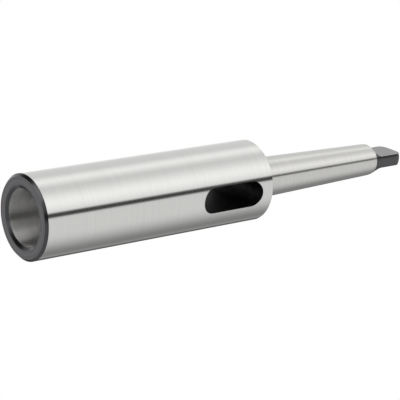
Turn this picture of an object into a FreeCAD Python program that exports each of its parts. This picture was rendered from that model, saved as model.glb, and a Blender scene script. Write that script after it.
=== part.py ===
import FreeCAD, Part

import math
import os

import Sketcher

# Morse taper extension sleeve, turned from one bar and ground.
# The socket face lies on z = 0 and the axis of the sleeve is +Z.
# The drift slot runs through the body along Y.
# The flats of the tang face +X and -X, square to the drift slot's width.
# Millimetres throughout.

SIZES = [
    # body
    ("body_radius", 18.0),
    ("body_length", 117.4),
    ("face_chamfer", 1.1),
    ("shoulder_chamfer", 1.1),
    # shank: Morse taper 2, 1 in 20.020 on diameter, 17.780 mm at its gauge line
    ("shank_gauge_radius", 8.89),
    ("shank_taper_ratio", 20.020),
    ("shoulder_to_gauge", 13.8),
    ("gauge_to_tang_end", 75.0),
    ("lead_length", 1.8),
    # tang
    ("tang_radius", 7.3),
    ("tang_turned_length", 16.5),
    ("tang_thickness", 5.6),
    ("tang_flat_length", 12.4),
    ("tang_cutter_radius", 5.0),
    ("tang_end_radius", 3.2),
    # socket: Morse taper 3, 1 in 19.922 on diameter, 23.825 mm at the face
    ("socket_gauge_radius", 11.9125),
    ("socket_taper_ratio", 19.922),
    ("relief_radius", 10.1),
    ("relief_depth", 84.0),
    ("drill_point_angle", 118.0),
    ("mouth_radius", 13.4),
    ("mouth_depth", 0.9),
    # drift slot
    ("slot_width", 11.5),
    ("slot_start", 78.7),
    ("slot_length", 32.2),
]

# Lengths that follow from the driving ones.
DERIVED = [
    ("gauge_height", "=body_length + shoulder_to_gauge"),
    ("total_length", "=gauge_height + gauge_to_tang_end"),
    ("shank_root_radius", "=shank_gauge_radius + shoulder_to_gauge / (2 * shank_taper_ratio)"),
    ("tang_start", "=total_length - tang_turned_length"),
    ("lead_start", "=tang_start - lead_length"),
    ("lead_radius", "=shank_gauge_radius - (lead_start - gauge_height) / (2 * shank_taper_ratio)"),
    ("mouth_inner_radius", "=socket_gauge_radius - mouth_depth / (2 * socket_taper_ratio)"),
    ("socket_taper_end", "=(socket_gauge_radius - relief_radius) * 2 * socket_taper_ratio"),
    ("drill_point_height", "=relief_depth + relief_radius / tan(drill_point_angle / 2 * 1 deg)"),
    ("slot_radius", "=slot_width / 2"),
    ("slot_low_centre", "=slot_start + slot_width / 2"),
    ("slot_high_centre", "=slot_start + slot_length - slot_width / 2"),
    ("tang_half_thickness", "=tang_thickness / 2"),
    ("flat_root", "=total_length - tang_flat_length"),
    ("cutter_centre", "=tang_half_thickness + tang_cutter_radius"),
    ("clear_radius", "=body_radius + shank_gauge_radius"),
    ("clear_height", "=total_length + shank_gauge_radius"),
    ("face_edge_radius", "=body_radius - face_chamfer"),
    ("shoulder_edge_radius", "=body_radius - shoulder_chamfer"),
    ("shoulder_edge_height", "=body_length - shoulder_chamfer"),
]


def make_sizes(doc):
    """The spreadsheet of driving dimensions and what follows from them."""
    sheet = doc.addObject("Spreadsheet::Sheet", "sizes")
    row = 1
    for name, value in SIZES:
        sheet.set("A%d" % row, name)
        sheet.set("B%d" % row, str(value))
        sheet.setAlias("B%d" % row, name)
        row += 1
    for name, formula in DERIVED:
        sheet.set("A%d" % row, name)
        sheet.set("B%d" % row, formula)
        sheet.setAlias("B%d" % row, name)
        row += 1
    doc.recompute()
    return sheet


def plane(body, role):
    """One of the body's own origin planes."""
    for feature in body.Origin.OriginFeatures:
        if feature.Role == role:
            return feature
    raise RuntimeError("no plane " + role)


def new_sketch(body, name, role):
    """A sketch on one of the body's origin planes."""
    sketch = body.newObject("Sketcher::SketchObject", name)
    sketch.AttachmentSupport = [(plane(body, role), "")]
    sketch.MapMode = "FlatFace"
    return sketch


def value_of(sheet, name):
    """A size as a plain number, for the first draft of a sketch."""
    value = getattr(sheet, name)
    return float(getattr(value, "Value", value))


def bind(sketch, constraint, name):
    """Add a dimension and tie it to the spreadsheet."""
    index = sketch.addConstraint(constraint)
    sketch.setExpression("Constraints[%d]" % index, "sizes." + name)


def hold(sketch, geo, pos, across, up, sheet):
    """Tie a sketch point to its radius and height; None is on the axis."""
    if across is None:
        sketch.addConstraint(Sketcher.Constraint("PointOnObject", geo, pos, -2))
    else:
        size = value_of(sheet, across)
        bind(sketch, Sketcher.Constraint("DistanceX", -1, 1, geo, pos, size), across)
    if up is None:
        sketch.addConstraint(Sketcher.Constraint("PointOnObject", geo, pos, -1))
    else:
        size = value_of(sheet, up)
        bind(sketch, Sketcher.Constraint("DistanceY", -1, 1, geo, pos, size), up)


def outline(sketch, corners, sheet):
    """A closed outline of straight lines through corners given by size names."""
    points = []
    for across, up in corners:
        x = 0.0 if across is None else value_of(sheet, across)
        y = 0.0 if up is None else value_of(sheet, up)
        points.append(FreeCAD.Vector(x, y, 0))
    count = len(points)
    lines = []
    for i in range(count):
        segment = Part.LineSegment(points[i], points[(i + 1) % count])
        lines.append(sketch.addGeometry(segment))
    for i in range(count):
        after = lines[(i + 1) % count]
        sketch.addConstraint(Sketcher.Constraint("Coincident", lines[i], 2, after, 1))
    for i in range(count):
        hold(sketch, lines[i], 1, corners[i][0], corners[i][1], sheet)


def revolve(body, kind, name, sketch):
    """A full turn of a sketch about the sleeve's axis."""
    feature = body.newObject("PartDesign::" + kind, name)
    feature.Profile = sketch
    feature.ReferenceAxis = (sketch, ["V_Axis"])
    feature.Angle = 360.0
    return feature


def turn_outside(body, sheet):
    """Body, shoulder, tapered shank, lead cone and tang blank as turned."""
    sketch = new_sketch(body, "outside_profile", "XZ_Plane")
    corners = [
        (None, None),
        ("face_edge_radius", None),
        ("body_radius", "face_chamfer"),
        ("body_radius", "shoulder_edge_height"),
        ("shoulder_edge_radius", "body_length"),
        ("shank_root_radius", "body_length"),
        ("lead_radius", "lead_start"),
        ("tang_radius", "tang_start"),
        ("tang_radius", "total_length"),
        (None, "total_length"),
    ]
    outline(sketch, corners, sheet)
    return revolve(body, "Revolution", "outside", sketch)


def round_tang_end(body, sheet, outside):
    """The radius turned round the end of the tang."""
    height = value_of(sheet, "total_length")
    rim = []
    for number, edge in enumerate(outside.Shape.Edges, start=1):
        if isinstance(edge.Curve, Part.Circle) and abs(edge.Curve.Center.z - height) < 1e-6:
            rim.append("Edge%d" % number)
    fillet = body.newObject("PartDesign::Fillet", "tang_end_round")
    fillet.Base = (outside, rim)
    fillet.Radius = value_of(sheet, "tang_end_radius")
    fillet.setExpression("Radius", "sizes.tang_end_radius")
    return fillet


def bore_socket(body, sheet):
    """Countersunk mouth, tapered socket, relief bore and drill point."""
    sketch = new_sketch(body, "socket_profile", "XZ_Plane")
    corners = [
        (None, None),
        ("mouth_radius", None),
        ("mouth_inner_radius", "mouth_depth"),
        ("relief_radius", "socket_taper_end"),
        ("relief_radius", "relief_depth"),
        (None, "drill_point_height"),
    ]
    outline(sketch, corners, sheet)
    return revolve(body, "Groove", "socket", sketch)


def mill_slot(body, sheet):
    """The drift slot: round-ended, right through the body along Y."""
    sketch = new_sketch(body, "slot_profile", "XZ_Plane")
    r = value_of(sheet, "slot_radius")
    low = value_of(sheet, "slot_low_centre")
    high = value_of(sheet, "slot_high_centre")
    up = FreeCAD.Vector(0, 0, 1)
    top = Part.Circle(FreeCAD.Vector(0, high, 0), up, r)
    bottom = Part.Circle(FreeCAD.Vector(0, low, 0), up, r)
    side_a = Part.LineSegment(FreeCAD.Vector(r, low, 0), FreeCAD.Vector(r, high, 0))
    side_b = Part.LineSegment(FreeCAD.Vector(-r, high, 0), FreeCAD.Vector(-r, low, 0))
    right = sketch.addGeometry(side_a)
    crown = sketch.addGeometry(Part.ArcOfCircle(top, 0.0, math.pi))
    left = sketch.addGeometry(side_b)
    foot = sketch.addGeometry(Part.ArcOfCircle(bottom, math.pi, 2.0 * math.pi))
    sketch.addConstraint(Sketcher.Constraint("Tangent", right, 2, crown, 1))
    sketch.addConstraint(Sketcher.Constraint("Tangent", crown, 2, left, 1))
    sketch.addConstraint(Sketcher.Constraint("Tangent", left, 2, foot, 1))
    sketch.addConstraint(Sketcher.Constraint("Tangent", foot, 2, right, 1))
    sketch.addConstraint(Sketcher.Constraint("Vertical", right))
    bind(sketch, Sketcher.Constraint("Radius", crown, r), "slot_radius")
    hold(sketch, crown, 3, None, "slot_high_centre", sheet)
    hold(sketch, foot, 3, None, "slot_low_centre", sheet)
    pocket = body.newObject("PartDesign::Pocket", "drift_slot")
    pocket.Profile = sketch
    pocket.Type = "ThroughAll"
    pocket.Midplane = True
    return pocket


def mill_flat(body, sheet):
    """One flat of the tang, run out towards the shank on the cutter's radius."""
    sketch = new_sketch(body, "flat_profile", "XZ_Plane")
    a = value_of(sheet, "tang_half_thickness")
    root = value_of(sheet, "flat_root")
    r = value_of(sheet, "tang_cutter_radius")
    centre = value_of(sheet, "cutter_centre")
    foot = root - r
    far = value_of(sheet, "clear_radius")
    high = value_of(sheet, "clear_height")
    corners = [
        FreeCAD.Vector(centre, foot, 0),
        FreeCAD.Vector(far, foot, 0),
        FreeCAD.Vector(far, high, 0),
        FreeCAD.Vector(a, high, 0),
        FreeCAD.Vector(a, root, 0),
    ]
    floor = sketch.addGeometry(Part.LineSegment(corners[0], corners[1]))
    side = sketch.addGeometry(Part.LineSegment(corners[1], corners[2]))
    roof = sketch.addGeometry(Part.LineSegment(corners[2], corners[3]))
    flat = sketch.addGeometry(Part.LineSegment(corners[3], corners[4]))
    circle = Part.Circle(FreeCAD.Vector(centre, root, 0), FreeCAD.Vector(0, 0, 1), r)
    sweep = sketch.addGeometry(Part.ArcOfCircle(circle, math.pi, 1.5 * math.pi))
    sketch.addConstraint(Sketcher.Constraint("Coincident", floor, 2, side, 1))
    sketch.addConstraint(Sketcher.Constraint("Coincident", side, 2, roof, 1))
    sketch.addConstraint(Sketcher.Constraint("Coincident", roof, 2, flat, 1))
    sketch.addConstraint(Sketcher.Constraint("Coincident", flat, 2, sweep, 1))
    sketch.addConstraint(Sketcher.Constraint("Coincident", sweep, 2, floor, 1))
    hold(sketch, sweep, 3, "cutter_centre", "flat_root", sheet)
    hold(sketch, flat, 2, "tang_half_thickness", "flat_root", sheet)
    bind(sketch, Sketcher.Constraint("DistanceX", -1, 1, floor, 1, centre), "cutter_centre")
    sketch.addConstraint(Sketcher.Constraint("Horizontal", floor))
    sketch.addConstraint(Sketcher.Constraint("Vertical", side))
    sketch.addConstraint(Sketcher.Constraint("Horizontal", roof))
    sketch.addConstraint(Sketcher.Constraint("Vertical", flat))
    hold(sketch, side, 2, "clear_radius", "clear_height", sheet)
    pocket = body.newObject("PartDesign::Pocket", "tang_flat")
    pocket.Profile = sketch
    pocket.Type = "ThroughAll"
    pocket.Midplane = True
    return pocket


def mirror_flat(body, pocket):
    """The second flat of the tang, opposite the first."""
    mirrored = body.newObject("PartDesign::Mirrored", "tang_flat_opposite")
    mirrored.Originals = [pocket]
    mirrored.MirrorPlane = (plane(body, "YZ_Plane"), [""])
    body.Tip = mirrored
    return mirrored


def volume_after(doc, feature):
    """Recompute and give the volume of the body at this feature."""
    doc.recompute()
    return feature.Shape.Volume


def check(doc):
    """Stop if any feature failed, is empty or is not valid."""
    for item in doc.Objects:
        states = list(item.State)
        if "Invalid" in states or "Error" in states:
            raise RuntimeError(item.Name + " failed: " + ", ".join(states))
        if item.isDerivedFrom("Sketcher::SketchObject"):
            if item.solve() != 0 or not item.FullyConstrained:
                raise RuntimeError(item.Name + " is not fully constrained")
        if item.isDerivedFrom("PartDesign::Feature") or item.Name == "sleeve":
            shape = item.Shape
            if shape.isNull() or not shape.isValid():
                raise RuntimeError(item.Name + " has no valid shape")


def build():
    doc = FreeCAD.newDocument("morse_sleeve")
    sheet = make_sizes(doc)
    body = doc.addObject("PartDesign::Body", "sleeve")
    body.Label = "sleeve"
    outside = turn_outside(body, sheet)
    blank = volume_after(doc, outside)
    rounded = round_tang_end(body, sheet, outside)
    solid = volume_after(doc, rounded)
    socket = bore_socket(body, sheet)
    bored = volume_after(doc, socket)
    slot = mill_slot(body, sheet)
    slotted = volume_after(doc, slot)
    flat = mill_flat(body, sheet)
    one_flat = volume_after(doc, flat)
    both = mirror_flat(body, flat)
    finished = volume_after(doc, both)
    steps = [blank, solid, bored, slotted, one_flat, finished]
    for before, after in zip(steps, steps[1:]):
        if not after < before - 1.0:
            raise RuntimeError("a cut removed nothing")
    doc.recompute()
    check(doc)
    os.makedirs("parts", exist_ok=True)
    body.Shape.exportStep("parts/sleeve.step")
    box = body.Shape.BoundBox
    print("volume", round(body.Shape.Volume, 1), "solids", len(body.Shape.Solids))
    print("box", box.XLength, box.YLength, box.ZLength)


build()
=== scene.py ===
import math

import bmesh
import bpy
from mathutils import Matrix, Vector


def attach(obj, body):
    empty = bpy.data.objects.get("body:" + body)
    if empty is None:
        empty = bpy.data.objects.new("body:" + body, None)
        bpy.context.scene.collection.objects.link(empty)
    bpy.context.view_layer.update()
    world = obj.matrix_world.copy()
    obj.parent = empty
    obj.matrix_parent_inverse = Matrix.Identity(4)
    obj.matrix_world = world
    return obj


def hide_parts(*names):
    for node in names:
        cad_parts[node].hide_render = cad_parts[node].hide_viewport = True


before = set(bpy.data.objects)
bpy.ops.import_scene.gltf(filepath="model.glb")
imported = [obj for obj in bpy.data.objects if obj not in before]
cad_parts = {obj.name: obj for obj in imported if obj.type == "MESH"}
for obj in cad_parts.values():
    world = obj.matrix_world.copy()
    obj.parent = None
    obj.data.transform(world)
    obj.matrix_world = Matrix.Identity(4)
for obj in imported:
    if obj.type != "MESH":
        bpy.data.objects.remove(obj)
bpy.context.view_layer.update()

# ---- sizes of the sleeve, as in the part's source; Z runs from the socket face to the tang ----
MM = 0.001
BODY_R = 18.0 * MM
BODY_L = 117.4 * MM
EDGE = 1.1 * MM
SHANK_GAUGE_R = 8.89 * MM
SHANK_TAPER = 2 * 20.020
GAUGE_Z = BODY_L + 13.8 * MM
TOTAL = GAUGE_Z + 75.0 * MM
TANG_Z = TOTAL - 16.5 * MM
LEAD_Z = TANG_Z - 1.8 * MM
TANG_R = 7.3 * MM
TANG_HALF = 2.8 * MM
FLAT_Z = TOTAL - 12.4 * MM
CUTTER_R = 5.0 * MM
TANG_END_R = 3.2 * MM
MOUTH_R = 13.4 * MM
MOUTH_Z = 0.9 * MM
SOCKET_R = 11.9125 * MM
SOCKET_TAPER = 2 * 19.922
RELIEF_R = 10.1 * MM
RELIEF_Z = 84.0 * MM
DRILL_HALF_ANGLE = 59.0
POINT_Z = RELIEF_Z + RELIEF_R / math.tan(math.radians(DRILL_HALF_ANGLE))
SLOT_R = 5.75 * MM
SLOT_LOW = 78.7 * MM
SLOT_HIGH = SLOT_LOW + 32.2 * MM
SHANK_ROOT_R = SHANK_GAUGE_R + (GAUGE_Z - BODY_L) / SHANK_TAPER
LEAD_R = SHANK_GAUGE_R - (LEAD_Z - GAUGE_Z) / SHANK_TAPER
RELIEF_FROM_Z = (SOCKET_R - RELIEF_R) * SOCKET_TAPER
MOUTH_IN_R = SOCKET_R - MOUTH_Z / SOCKET_TAPER
TANG_BREAK = 0.25 * MM

# ---- steps round the whole sleeve and along each arc, and how near counts as on a surface ----
TURNS = 288
END_STEPS = 8
SLOT_STEPS = 48
CUTTER_STEPS = 24
ON_LEVEL = 0.1 * MM
ON_PROFILE = 0.02 * MM


def lathe_solid(name, profile):
    """A closed turned solid from (radius, height) pairs that start and end on the axis."""
    bm = bmesh.new()
    rings = []
    for r, z in profile:
        if r < 1e-9:
            rings.append([bm.verts.new((0, 0, z))])
            continue
        ring = []
        for i in range(TURNS):
            a = 2 * math.pi * i / TURNS
            ring.append(bm.verts.new((r * math.cos(a), r * math.sin(a), z)))
        rings.append(ring)
    for low, high in zip(rings, rings[1:]):
        for i in range(TURNS):
            j = (i + 1) % TURNS
            if len(low) == 1:
                bm.faces.new((low[0], high[j], high[i]))
            elif len(high) == 1:
                bm.faces.new((low[i], low[j], high[0]))
            else:
                bm.faces.new((low[i], low[j], high[j], high[i]))
    bmesh.ops.recalc_face_normals(bm, faces=bm.faces)
    return as_object(name, bm)


def prism(name, points, half):
    """A prism along Y from a closed outline in X and Z."""
    bm = bmesh.new()
    near = [bm.verts.new((x, -half, z)) for x, z in points]
    far = [bm.verts.new((x, half, z)) for x, z in points]
    bm.faces.new(near)
    bm.faces.new(list(reversed(far)))
    count = len(points)
    for i in range(count):
        j = (i + 1) % count
        bm.faces.new((near[j], near[i], far[i], far[j]))
    bmesh.ops.recalc_face_normals(bm, faces=bm.faces)
    return as_object(name, bm)


def as_object(name, bm):
    """The object made from a bmesh, in the scene."""
    mesh = bpy.data.meshes.new(name)
    bm.to_mesh(mesh)
    bm.free()
    obj = bpy.data.objects.new(name, mesh)
    bpy.context.scene.collection.objects.link(obj)
    return obj


def cut(obj, tool):
    """Take the tool's volume out of the object and drop the tool."""
    mod = obj.modifiers.new("cut", "BOOLEAN")
    mod.operation = "DIFFERENCE"
    mod.solver = "EXACT"
    mod.object = tool
    graph = bpy.context.evaluated_depsgraph_get()
    mesh = bpy.data.meshes.new_from_object(obj.evaluated_get(graph))
    obj.modifiers.clear()
    old = obj.data
    obj.data = mesh
    bpy.data.meshes.remove(old)
    spare = tool.data
    bpy.data.objects.remove(tool)
    bpy.data.meshes.remove(spare)


def outside_profile():
    """(radius, height) along the outside, with the tang's rounded end as an arc."""
    corner = []
    for i in range(END_STEPS + 1):
        a = 0.5 * math.pi * i / END_STEPS
        corner.append((
            TANG_R - TANG_END_R + TANG_END_R * math.cos(a),
            TOTAL - TANG_END_R + TANG_END_R * math.sin(a),
        ))
    return [
        (0, 0),
        (BODY_R - EDGE, 0),
        (BODY_R, EDGE),
        (BODY_R, BODY_L - EDGE),
        (BODY_R - EDGE, BODY_L),
        (SHANK_ROOT_R, BODY_L),
        (LEAD_R, LEAD_Z),
        (TANG_R, TANG_Z),
    ] + corner + [(0, TOTAL)]


def socket_profile():
    """(radius, height) of the socket, from below the face to the drill point."""
    below = 2 * MM
    flare = (MOUTH_R - MOUTH_IN_R) / MOUTH_Z
    return [
        (0, -below),
        (MOUTH_R + flare * below, -below),
        (MOUTH_IN_R, MOUTH_Z),
        (RELIEF_R, RELIEF_FROM_Z),
        (RELIEF_R, RELIEF_Z),
        (0, POINT_Z),
    ]


def slot_outline():
    """(x, height) round the drift slot, with a half circle at each end."""
    points = []
    for start, middle in ((0, SLOT_HIGH - SLOT_R), (math.pi, SLOT_LOW + SLOT_R)):
        for i in range(SLOT_STEPS + 1):
            a = start + math.pi * i / SLOT_STEPS
            points.append((SLOT_R * math.cos(a), middle + SLOT_R * math.sin(a)))
    return points


def flat_outline(side):
    """(x, height) of what is milled off one side of the tang, run out on the cutter's radius."""
    past = TOTAL + 5 * MM
    wide = 20 * MM
    points = [(TANG_HALF, past), (wide, past), (wide, FLAT_Z - CUTTER_R)]
    for i in range(CUTTER_STEPS + 1):
        a = 1.5 * math.pi - 0.5 * math.pi * i / CUTTER_STEPS
        x = TANG_HALF + CUTTER_R + CUTTER_R * math.cos(a)
        z = FLAT_Z + CUTTER_R * math.sin(a)
        points.append((x, z))
    return [(side * x, z) for x, z in points]


def break_edges(obj, chosen, width):
    """A small flat on the edges that the choice picks by their two faces."""
    bm = bmesh.new()
    bm.from_mesh(obj.data)
    edges = [e for e in bm.edges if len(e.link_faces) == 2 and chosen(*e.link_faces)]
    bmesh.ops.bevel(bm, geom=edges, offset=width, segments=1, affect="EDGES", clamp_overlap=True)
    bm.to_mesh(obj.data)
    bm.free()


def along_flats(one, other):
    """An edge where a milled flat of the tang meets its turned side."""
    faces = sorted((one, other), key=lambda face: abs(face.normal.x))
    low, high = faces
    return (
        min(f.calc_center_median().z for f in faces) > FLAT_Z - 0.5 * MM
        and abs(high.normal.x) > 0.9999
        and abs(low.normal.x) < 0.9
        and low.normal.z < 0.999
    )


def gap_to(profile, r, z):
    """Distance from a point in the (radius, height) plane to a profile."""
    point = Vector((r, z))
    best = 1.0
    for start, end in zip(profile, profile[1:]):
        start, end = Vector(start), Vector(end)
        along = end - start
        t = (point - start).dot(along) / along.length_squared
        t = min(1.0, max(0.0, t))
        best = min(best, (point - start - along * t).length)
    return best


def is_turned(centre, normal):
    """True when a face lies on a surface of revolution about the axis."""
    r = math.hypot(centre.x, centre.y)
    flat = math.hypot(normal.x, normal.y)
    if flat < 1e-4 or r < 1e-6:
        return False
    if abs(normal.x * centre.x + normal.y * centre.y) / (r * flat) < 0.9995:
        return False
    near_outside = gap_to(outside_profile(), r, centre.z) < ON_PROFILE
    return near_outside or gap_to(socket_profile(), r, centre.z) < ON_PROFILE


GROUND, BLACK, BORED, TAPER, INNER, MILLED = range(6)


def zone_of(centre, normal, turned):
    """Finish of a face from where it is on the sleeve. The inner walls get black scale with
    painted shade.
    """
    x, y, z = centre
    if z > TANG_Z - CUTTER_R and not turned:
        return BLACK if normal.z > 0.9 else MILLED
    if z > TANG_Z:
        return BLACK
    if z > BODY_L + ON_LEVEL:
        return TAPER
    if abs(z - BODY_L) < ON_LEVEL and normal.z > 0.9:
        return GROUND
    if normal.z < -0.9 and z < ON_LEVEL:
        return BLACK
    if not turned:
        return INNER
    faces_out = normal.x * x + normal.y * y > 0
    if faces_out:
        return BLACK if z < EDGE else GROUND
    if z < MOUTH_Z:
        return BLACK
    return BORED if z < RELIEF_FROM_Z else INNER


def turned_normal(point, face_normal):
    """The true normal of a turned face at a point, facing the face's own way."""
    r = math.hypot(point.x, point.y)
    if r < 1e-7:
        return face_normal
    corner_r, corner_z = TANG_R - TANG_END_R, TOTAL - TANG_END_R
    if r > corner_r and point.z > corner_z and 0.01 < face_normal.z < 0.999:
        rise = Vector((r - corner_r, point.z - corner_z)).normalized()
        return Vector((rise.x * point.x / r, rise.x * point.y / r, rise.y))
    flat = math.hypot(face_normal.x, face_normal.y)
    if face_normal.x * point.x + face_normal.y * point.y < 0:
        flat = -flat
    return Vector((flat * point.x / r, flat * point.y / r, face_normal.z)).normalized()


def milled_normal(point, centre, face_normal):
    """The true normal of a face cut along Y: a flat, or a round about its cutter."""
    if max(abs(face_normal.x), abs(face_normal.z)) > 0.99999:
        return face_normal
    if centre.z > BODY_L:
        about = Vector((math.copysign(TANG_HALF + CUTTER_R, centre.x), 0, FLAT_Z))
    elif centre.z > (SLOT_LOW + SLOT_HIGH) / 2:
        about = Vector((0, 0, SLOT_HIGH - SLOT_R))
    else:
        about = Vector((0, 0, SLOT_LOW + SLOT_R))
    out = Vector((point.x - about.x, 0, point.z - about.z)).normalized()
    return out if out.dot(face_normal) > 0 else -out


def dress(obj, materials):
    """A finish for each face, and the true normal at each of its corners."""
    mesh = obj.data
    mesh.materials.clear()
    for material in materials:
        mesh.materials.append(material)
    normals = [None] * len(mesh.loops)
    for poly in mesh.polygons:
        centre = poly.center
        turned = is_turned(centre, poly.normal)
        poly.material_index = zone_of(centre, poly.normal, turned)
        poly.use_smooth = True
        for loop in poly.loop_indices:
            point = mesh.vertices[mesh.loops[loop].vertex_index].co
            if turned:
                normals[loop] = turned_normal(point, poly.normal)
            elif abs(poly.normal.y) < 1e-3:
                normals[loop] = milled_normal(point, centre, poly.normal)
            else:
                normals[loop] = Vector(poly.normal)
    mesh.normals_split_custom_set([tuple(n) for n in normals])


# ---- finishes, with painted shade on the inner walls ----
def material(name, color, roughness):
    """A bare metal, with its tree and shader."""
    mat = bpy.data.materials.new(name)
    mat.use_nodes = True
    tree = mat.node_tree
    shader = tree.nodes["Principled BSDF"]
    shader.inputs["Base Color"].default_value = (*color, 1)
    shader.inputs["Metallic"].default_value = 1.0
    shader.inputs["Roughness"].default_value = roughness
    return mat, tree, shader


def lay_across(tree, shader, spread):
    """Stretch the gloss along the axis, as grinding marks round it do."""
    shader.inputs["Anisotropic"].default_value = spread
    shader.inputs["Anisotropic Rotation"].default_value = 0.25
    tangent = tree.nodes.new("ShaderNodeTangent")
    tangent.direction_type = "RADIAL"
    tangent.axis = "Z"
    tree.links.new(tangent.outputs[0], shader.inputs["Tangent"])


def noise(tree, scale, detail):
    """Noise over the object's own coordinates, scaled along X, Y and Z."""
    coord = tree.nodes.new("ShaderNodeTexCoord")
    mapping = tree.nodes.new("ShaderNodeMapping")
    mapping.inputs["Scale"].default_value = scale
    tree.links.new(coord.outputs["Object"], mapping.inputs["Vector"])
    tex = tree.nodes.new("ShaderNodeTexNoise")
    tex.inputs["Scale"].default_value = 1.0
    tex.inputs["Detail"].default_value = detail
    tree.links.new(mapping.outputs[0], tex.inputs["Vector"])
    return tex.outputs["Fac"]


def rings(tree, per_metre, detail):
    """Noise over the distance from the axis: the marks of a facing cut."""
    coord = tree.nodes.new("ShaderNodeTexCoord")
    flatten = tree.nodes.new("ShaderNodeVectorMath")
    flatten.operation = "MULTIPLY"
    flatten.inputs[1].default_value = (1, 1, 0)
    tree.links.new(coord.outputs["Object"], flatten.inputs[0])
    length = tree.nodes.new("ShaderNodeVectorMath")
    length.operation = "LENGTH"
    tree.links.new(flatten.outputs[0], length.inputs[0])
    tex = tree.nodes.new("ShaderNodeTexNoise")
    tex.noise_dimensions = "1D"
    tex.inputs["Scale"].default_value = per_metre
    tex.inputs["Detail"].default_value = detail
    tree.links.new(length.outputs["Value"], tex.inputs["W"])
    return tex.outputs["Fac"]


def ramp(tree, fac, low, high, start=0.3, end=0.7):
    """Colours from low to high over the middle of a noise."""
    node = tree.nodes.new("ShaderNodeValToRGB")
    first, last = node.color_ramp.elements
    first.position, last.position = start, end
    first.color = (*low, 1)
    last.color = (*high, 1)
    tree.links.new(fac, node.inputs[0])
    return node.outputs["Color"]


def vary(tree, shader, fac, color, swing, roughness, rough_swing):
    """Vary the colour and the roughness a little about their plain values."""
    low = [c * (1 - swing) for c in color]
    high = [c * (1 + swing) for c in color]
    tree.links.new(ramp(tree, fac, low, high), shader.inputs["Base Color"])
    span = tree.nodes.new("ShaderNodeMapRange")
    span.inputs["To Min"].default_value = roughness - rough_swing
    span.inputs["To Max"].default_value = roughness + rough_swing
    tree.links.new(fac, span.inputs["Value"])
    tree.links.new(span.outputs["Result"], shader.inputs["Roughness"])


def bump(tree, shader, fac, strength, distance):
    """Raise and sink the surface with a noise."""
    node = tree.nodes.new("ShaderNodeBump")
    node.inputs["Strength"].default_value = strength
    node.inputs["Distance"].default_value = distance
    tree.links.new(fac, node.inputs["Height"])
    tree.links.new(node.outputs[0], shader.inputs["Normal"])


def ground_steel():
    """Cylindrically ground: bright, crisp round the axis, fine marks round it."""
    color, roughness = (0.76, 0.758, 0.74), 0.13
    mat, tree, shader = material("ground_steel", color, roughness)
    lay_across(tree, shader, 0.6)
    marks = noise(tree, (30, 30, 1800), 4)
    vary(tree, shader, marks, color, 0.02, roughness, 0.015)
    bump(tree, shader, marks, 0.035, 0.1 * MM)
    return mat


def taper_steel():
    """The ground shank: a little greyer than the body, its marks a little coarser."""
    color, roughness = (0.70, 0.695, 0.675), 0.22
    mat, tree, shader = material("taper_steel", color, roughness)
    lay_across(tree, shader, 0.5)
    marks = noise(tree, (30, 30, 1500), 5)
    vary(tree, shader, marks, color, 0.035, roughness, 0.02)
    bump(tree, shader, marks, 0.06, 0.1 * MM)
    return mat


def black_steel():
    """Turned before hardening and left dark from the furnace."""
    color, roughness = (0.105, 0.105, 0.11), 0.2
    mat, tree, shader = material("black_steel", color, roughness)
    vary(tree, shader, rings(tree, 900, 3), color, 0.12, roughness, 0.04)
    return mat


def bored_steel():
    """The ground socket: marks round it, bright from the mouth."""
    color, roughness = (0.74, 0.735, 0.715), 0.48
    mat, tree, shader = material("bored_steel", color, roughness)
    lay_across(tree, shader, 1.0)
    marks = noise(tree, (60, 60, 500), 5)
    vary(tree, shader, marks, color, 0.08, roughness, 0.05)
    return mat


def inner_scale_and_painted_shade():
    """Milled and drilled walls inside: black with scale, and darker still with painted shade for
    the light these hollows don't get.
    """
    # The base colour sits below the scale's own black. This is painted shade in the slot, the
    # relief bore and the drill point.
    color, roughness = (0.03, 0.03, 0.03), 0.5
    mat, tree, shader = material("inner_scale_and_painted_shade", color, roughness)
    vary(tree, shader, noise(tree, (300, 300, 300), 3), color, 0.5, roughness, 0.1)
    return mat


def milled_steel():
    """The tang's flats, side milled, lighter than the turned scale round them."""
    color, roughness = (0.38, 0.385, 0.385), 0.4
    mat, tree, shader = material("milled_steel", color, roughness)
    vary(tree, shader, noise(tree, (200, 500, 120), 3), color, 0.08, roughness, 0.04)
    return mat


# ---- studio, with the camera in metres, its roll in degrees and its lens in millimetres ----
FLOOR_HALF = 3.0
CAMERA_AT = Vector((-0.2032, -0.4948, -0.3098))
CAMERA_AIM = Vector((0.00695, 0.00287, 0.09282))
CAMERA_ROLL = 79.96
CAMERA_LENS = 138.18


def add_camera():
    """The photograph's point of view: below the socket face, turned on its side."""
    data = bpy.data.cameras.new("camera")
    data.sensor_width = 36.0
    data.lens = CAMERA_LENS
    data.clip_start = 0.01
    data.clip_end = 20.0
    cam = bpy.data.objects.new("camera", data)
    bpy.context.scene.collection.objects.link(cam)
    look = (CAMERA_AIM - CAMERA_AT).to_track_quat("-Z", "Y").to_matrix()
    turn = (look @ Matrix.Rotation(math.radians(CAMERA_ROLL), 3, "Z")).to_4x4()
    cam.matrix_world = Matrix.Translation(CAMERA_AT) @ turn
    bpy.context.scene.camera = cam


# A white tent round the sleeve: one plain level, with soft lights and dark gaps laid over
# it, about where the photograph's metal reflects them. Each is its middle, half width and
# soft edge, in degrees round the axis from the camera's side and negative towards -X, and
# its level.
WALL_LEVEL = 0.75
WALL_PANELS = [
    (180, 20, 20, 1.05),
    (-90, 10, 15, 1.05),
    (-25, 15, 25, 1.1),
    (125, 30, 40, 0.25),
    (160, 12, 5, 0.1),
    (7, 6, 3, 0.05),
]

# The tent's lower part. What faces down and the socket look into it, and so do the sides in a
# view from above. The walls pass into it between these two heights of the direction.
LOWER_LEVEL = 0.5
LOWER_PANELS = [
    (180, 20, 15, 0.9),
    (-70, 25, 5, 1.2),
    (-120, 20, 5, 0.05),
    (10, 15, 5, 0.05),
]
WALLS_END = -0.12
LOWER_START = -0.24


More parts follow.
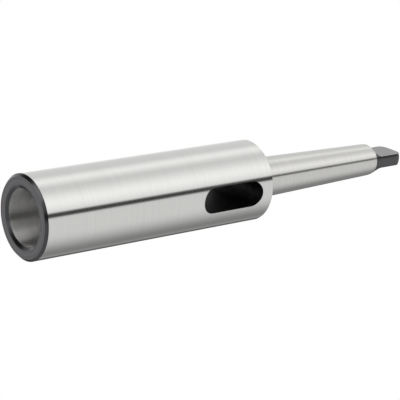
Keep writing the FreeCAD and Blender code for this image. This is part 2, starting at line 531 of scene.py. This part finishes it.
def sum_up(tree, operation, value, *numbers):
    """One step of arithmetic on a value in the tree."""
    node = tree.nodes.new("ShaderNodeMath")
    node.operation = operation
    tree.links.new(value, node.inputs[0])
    for place, number in enumerate(numbers, start=1):
        node.inputs[place].default_value = number
    return node.outputs[0]


def tent_part(tree, around, plain, panels):
    """A plain level round the whole turn, with each panel laid over what is before it."""
    tone = tree.nodes.new("ShaderNodeRGB").outputs[0]
    tone.default_value = (plain, plain, plain, 1)
    for middle, half, soft, level in panels:
        turned = sum_up(tree, "ADD", around, -middle / 360)
        from_far_side = sum_up(tree, "FRACT", turned)
        away = sum_up(tree, "ABSOLUTE", sum_up(tree, "SUBTRACT", from_far_side, 0.5))
        cover = tree.nodes.new("ShaderNodeMapRange")
        cover.interpolation_type = "SMOOTHSTEP"
        cover.inputs["From Min"].default_value = (half + soft) / 360
        cover.inputs["From Max"].default_value = max(half - soft, 0) / 360
        tree.links.new(away, cover.inputs["Value"])
        lay = tree.nodes.new("ShaderNodeMixRGB")
        lay.inputs[2].default_value = (level, level, level, 1)
        tree.links.new(cover.outputs["Result"], lay.inputs[0])
        tree.links.new(tone, lay.inputs[1])
        tone = lay.outputs[0]
    return tone


def add_world():
    """The tent for everything but the camera and clear materials, which see plain white."""
    world = bpy.data.worlds.new("studio")
    bpy.context.scene.world = world
    world.use_nodes = True
    tree = world.node_tree
    tree.nodes.clear()
    out = tree.nodes.new("ShaderNodeOutputWorld")
    coord = tree.nodes.new("ShaderNodeTexCoord")
    split = tree.nodes.new("ShaderNodeSeparateXYZ")
    tree.links.new(coord.outputs["Generated"], split.inputs[0])
    angle = tree.nodes.new("ShaderNodeMath")
    angle.operation = "ARCTAN2"
    tree.links.new(split.outputs["Y"], angle.inputs[0])
    tree.links.new(split.outputs["X"], angle.inputs[1])
    facing = math.atan2(CAMERA_AT.y, CAMERA_AT.x)
    per_radian = 1 / (2 * math.pi)
    turned = sum_up(tree, "MULTIPLY_ADD", angle.outputs[0], per_radian, 0.5 - facing * per_radian)
    around = sum_up(tree, "FRACT", turned)
    drop = tree.nodes.new("ShaderNodeMapRange")
    drop.interpolation_type = "SMOOTHSTEP"
    drop.inputs["From Min"].default_value = WALLS_END
    drop.inputs["From Max"].default_value = LOWER_START
    tree.links.new(split.outputs["Z"], drop.inputs["Value"])
    tent = tree.nodes.new("ShaderNodeMixRGB")
    tree.links.new(drop.outputs["Result"], tent.inputs[0])
    tree.links.new(tent_part(tree, around, WALL_LEVEL, WALL_PANELS), tent.inputs[1])
    tree.links.new(tent_part(tree, around, LOWER_LEVEL, LOWER_PANELS), tent.inputs[2])
    light = tree.nodes.new("ShaderNodeBackground")
    tree.links.new(tent.outputs[0], light.inputs["Color"])
    white = tree.nodes.new("ShaderNodeBackground")
    white.inputs["Color"].default_value = (1, 1, 1, 1)
    path = tree.nodes.new("ShaderNodeLightPath")
    seen = tree.nodes.new("ShaderNodeMath")
    seen.operation = "MAXIMUM"
    tree.links.new(path.outputs["Is Camera Ray"], seen.inputs[0])
    tree.links.new(path.outputs["Is Transmission Ray"], seen.inputs[1])
    mix = tree.nodes.new("ShaderNodeMixShader")
    tree.links.new(seen.outputs[0], mix.inputs[0])
    tree.links.new(light.outputs[0], mix.inputs[1])
    tree.links.new(white.outputs[0], mix.inputs[2])
    tree.links.new(mix.outputs[0], out.inputs["Surface"])


def add_floor():
    """A pale floor seen from above only, so that the camera can look up through it."""
    bm = bmesh.new()
    bmesh.ops.create_grid(bm, x_segments=1, y_segments=1, size=FLOOR_HALF)
    floor = as_object("floor", bm)
    mat = bpy.data.materials.new("floor_white")
    mat.use_nodes = True
    tree = mat.node_tree
    tree.nodes.clear()
    out = tree.nodes.new("ShaderNodeOutputMaterial")
    paint = tree.nodes.new("ShaderNodeBsdfDiffuse")
    paint.inputs["Color"].default_value = (0.86, 0.86, 0.86, 1)
    clear = tree.nodes.new("ShaderNodeBsdfTransparent")
    side = tree.nodes.new("ShaderNodeNewGeometry")
    mix = tree.nodes.new("ShaderNodeMixShader")
    tree.links.new(side.outputs["Backfacing"], mix.inputs[0])
    tree.links.new(paint.outputs[0], mix.inputs[1])
    tree.links.new(clear.outputs[0], mix.inputs[2])
    tree.links.new(mix.outputs[0], out.inputs["Surface"])
    floor.data.materials.append(mat)
    floor.visible_diffuse = False
    floor.visible_glossy = False
    floor.visible_transmission = False
    floor.visible_shadow = False


def main():
    """Turn and mill the sleeve, dress it, and set up the studio."""
    sleeve = lathe_solid("sleeve_finished", outside_profile())
    cut(sleeve, lathe_solid("socket_tool", socket_profile()))
    cut(sleeve, prism("slot_tool", slot_outline(), 30 * MM))
    cut(sleeve, prism("flat_tool_a", flat_outline(1), 20 * MM))
    cut(sleeve, prism("flat_tool_b", flat_outline(-1), 20 * MM))
    break_edges(sleeve, along_flats, TANG_BREAK)
    dress(sleeve, [
        ground_steel(), black_steel(), bored_steel(), taper_steel(), inner_scale_and_painted_shade(), milled_steel(),
    ])
    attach(sleeve, "root")
    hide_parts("sleeve")
    add_camera()
    add_world()
    add_floor()
    bpy.context.scene.view_settings.view_transform = "Standard"
    print("faces", len(sleeve.data.polygons))


main()
